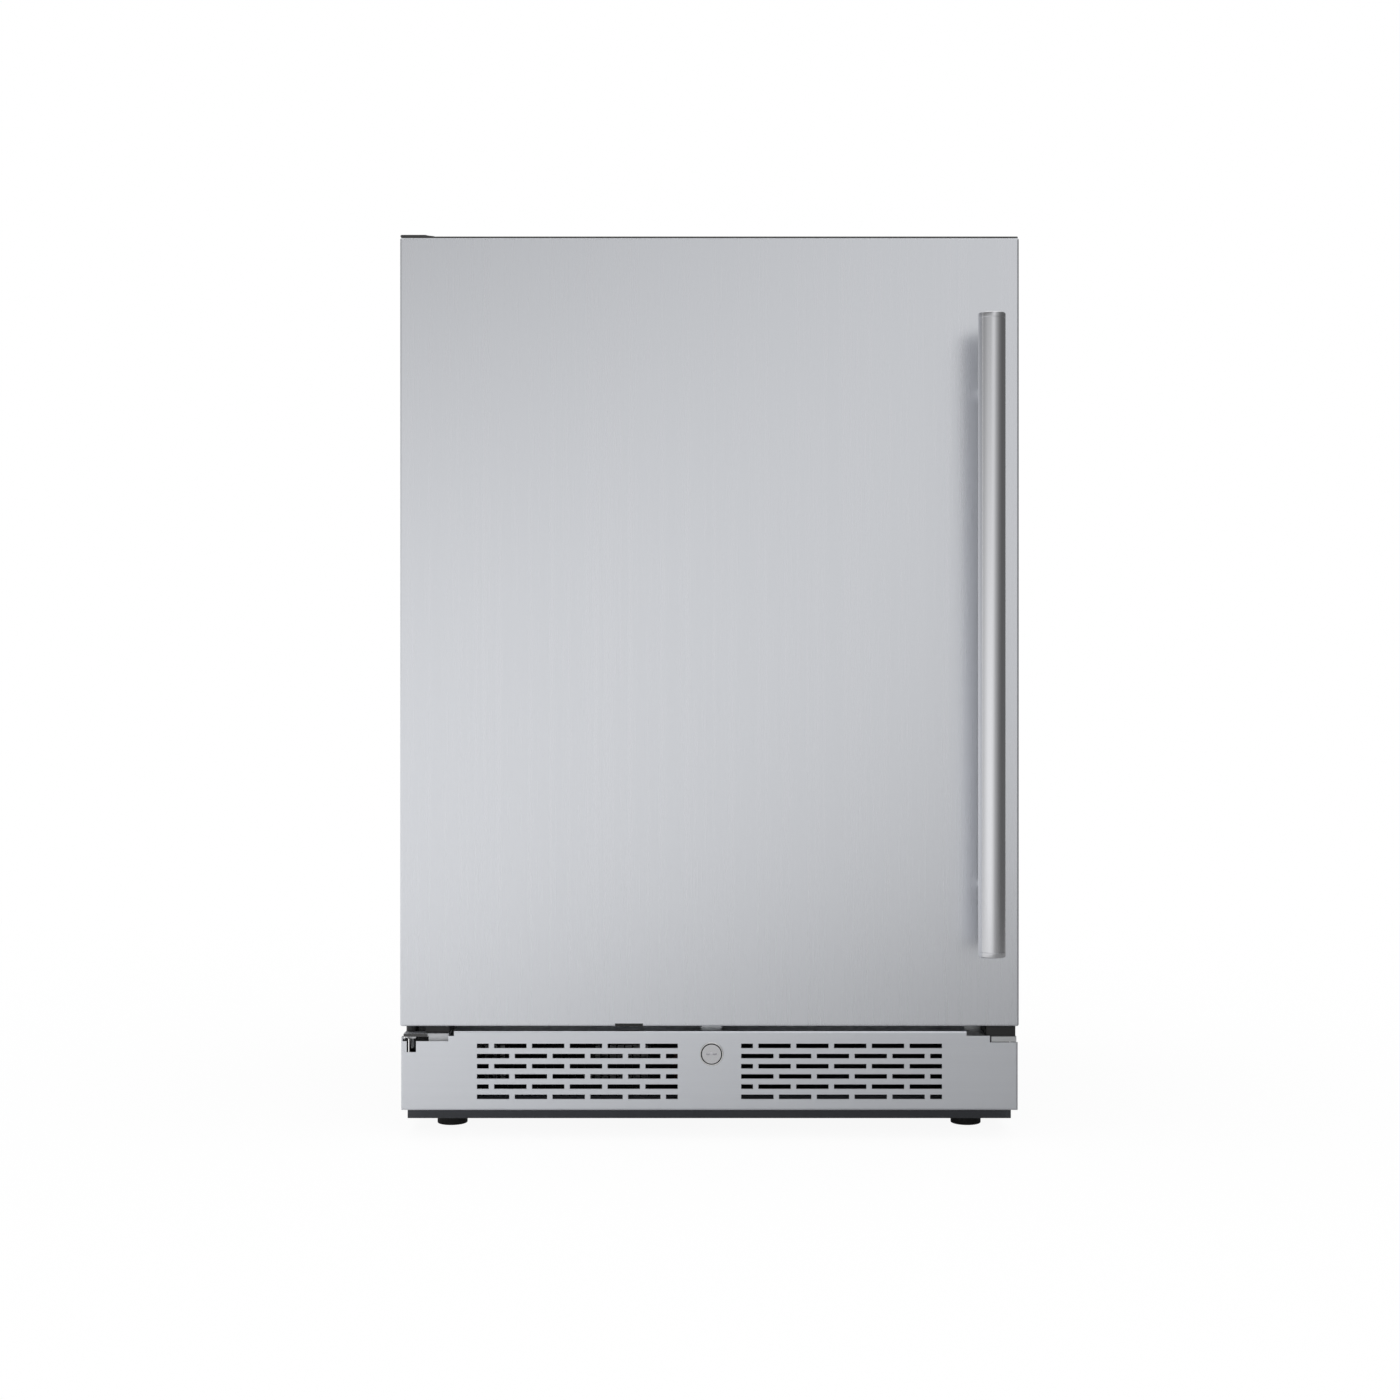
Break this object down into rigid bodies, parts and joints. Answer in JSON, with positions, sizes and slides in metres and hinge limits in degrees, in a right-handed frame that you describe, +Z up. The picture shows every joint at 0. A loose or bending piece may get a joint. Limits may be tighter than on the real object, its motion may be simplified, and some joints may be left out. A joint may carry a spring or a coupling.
{
  "type": "undercounter refrigerator",
  "caption": "Built-in undercounter refrigerator with a hinged stainless door, vertical bar handle, vented kick grille with lock, glass shelves and levelling feet.",
  "frame": {"origin": "on the floor, below the middle of the overall box", "axes": "+Z up, the door faces -Y, +X is the handle side"},
  "size_m": [0.596, 0.6577, 0.876],
  "materials": {
    "stainless_door": "vertically brushed stainless sheet",
    "stainless_grille": "horizontally brushed stainless sheet",
    "stainless_bar": "polished stainless tube",
    "black_sheet": "satin black powder coat",
    "galvanised": "spangled zinc",
    "zinc": "bright zinc plate",
    "charcoal_rail": "satin charcoal paint",
    "white_liner": "white vacuum-formed plastic",
    "foam": "rigid polyurethane foam",
    "black_plastic": "moulded black plastic",
    "grey_plastic": "moulded dark grey plastic",
    "white_plastic": "moulded light grey plastic",
    "gasket_rubber": "soft extruded seal",
    "black_rubber": "moulded rubber",
    "clear_glass": "tempered glass",
    "smoked_window": "smoked window",
    "milky_lens": "milky diffuser",
    "bright_chrome": "chrome plated",
    "fins": "mill finish fins",
    "compressor_black": "gloss black enamel",
    "copper": "drawn copper"
  },
  "bodies": {
    "cabinet": {"cabinet_wrapper": "black_sheet", "cabinet_underside": "galvanised", "cabinet_back": "galvanised", "cabinet_foam": "foam", "inner_liner": "white_liner", "rear_cover": "galvanised", "cord_gland": "black_plastic", "base_pan": "charcoal_rail", "kick_grille": "stainless_grille", "lock_barrel": "bright_chrome", "lock_nut": "zinc", "lower_hinge_bracket": "zinc", "lower_hinge_pin": "zinc", "bracket_spacers": "black_plastic", "right_bracket": "zinc", "upper_hinge_bracket": "zinc", "upper_hinge_pin": "zinc", "upper_hinge_cover": "black_plastic", "case_screws": "zinc", "shelf_rails": "white_liner", "shelf_glass": "clear_glass", "shelf_trims": "stainless_bar", "control_housing": "grey_plastic", "display_window": "smoked_window", "light_lens": "milky_lens", "evaporator": "fins", "evaporator_cover": "white_plastic", "evaporator_fan_motor": "grey_plastic", "drain_tube": "grey_plastic", "compressor": "compressor_black", "compressor_grommets": "black_rubber", "terminal_cover": "black_plastic", "condenser": "fins", "condenser_shroud": "galvanised", "condenser_fan_motor": "grey_plastic", "filter_drier": "copper", "refrigerant_lines": "copper", "drip_tray": "grey_plastic"},
    "door": {"door_skin": "stainless_door", "door_top_cap": "grey_plastic", "door_liner": "white_liner", "door_foam": "foam", "door_gasket": "gasket_rubber", "lock_strike": "zinc", "foam_fill_plug": "black_plastic", "hinge_bushings": "black_plastic", "handle_bar": "stainless_bar", "handle_end_caps": "stainless_bar", "handle_standoffs": "stainless_bar"},
    "lock_cylinder": {"lock_cylinder": "bright_chrome"},
    "lock_bolt": {"lock_bolt": "zinc"},
    "evaporator_fan": {"evaporator_fan": "black_plastic"},
    "condenser_fan": {"condenser_fan": "black_plastic"},
    "button_light": {"button_light": "grey_plastic"},
    "button_warmer": {"button_warmer": "grey_plastic"},
    "button_colder": {"button_colder": "grey_plastic"},
    "foot_front_left": {"foot_front_left": "black_plastic"},
    "foot_front_right": {"foot_front_right": "black_plastic"},
    "foot_rear_left": {"foot_rear_left": "black_plastic"},
    "foot_rear_right": {"foot_rear_right": "black_plastic"}
  },
  "joints": [
    {"name": "door_hinge", "type": "hinge", "parent": "cabinet", "child": "door", "pos_m": [-0.2885, -0.23515, 0.49], "axis": [0, 0, -1], "range_deg": [0, 110]},
    {"name": "lock_turn", "type": "hinge", "parent": "cabinet", "child": "lock_cylinder", "pos_m": [0.002, -0.25115, 0.0823], "axis": [0, -1, 0], "range_deg": [0, 90]},
    {"name": "bolt_slide", "type": "slide", "parent": "cabinet", "child": "lock_bolt", "axis": [0, 0, 1], "range_m": [0, 0.008]},
    {"name": "evaporator_fan_spin", "type": "hinge", "parent": "cabinet", "child": "evaporator_fan", "pos_m": [0, 0.23785, 0.73], "axis": [0, 1, 0], "continuous": true},
    {"name": "condenser_fan_spin", "type": "hinge", "parent": "cabinet", "child": "condenser_fan", "pos_m": [-0.161, -0.12215, 0.065], "axis": [0, 1, 0], "continuous": true},
    {"name": "press_light", "type": "slide", "parent": "cabinet", "child": "button_light", "axis": [0, 1, 0], "range_m": [0, 0.0015], "stiffness_N_per_m": 400, "springref_m": -0.001},
    {"name": "press_warmer", "type": "slide", "parent": "cabinet", "child": "button_warmer", "axis": [0, 1, 0], "range_m": [0, 0.0015], "stiffness_N_per_m": 400, "springref_m": -0.001},
    {"name": "press_colder", "type": "slide", "parent": "cabinet", "child": "button_colder", "axis": [0, 1, 0], "range_m": [0, 0.0015], "stiffness_N_per_m": 400, "springref_m": -0.001},
    {"name": "level_front_left", "type": "slide", "parent": "cabinet", "child": "foot_front_left", "axis": [0, 0, -1], "range_m": [0, 0.015]},
    {"name": "level_front_right", "type": "slide", "parent": "cabinet", "child": "foot_front_right", "axis": [0, 0, -1], "range_m": [0, 0.015]},
    {"name": "level_rear_left", "type": "slide", "parent": "cabinet", "child": "foot_rear_left", "axis": [0, 0, -1], "range_m": [0, 0.015]},
    {"name": "level_rear_right", "type": "slide", "parent": "cabinet", "child": "foot_rear_right", "axis": [0, 0, -1], "range_m": [0, 0.015]}
  ],
  "couplings": [
    {"joint": "bolt_slide", "follows": "lock_turn", "m_per_rad": 0.005093}
  ]
}
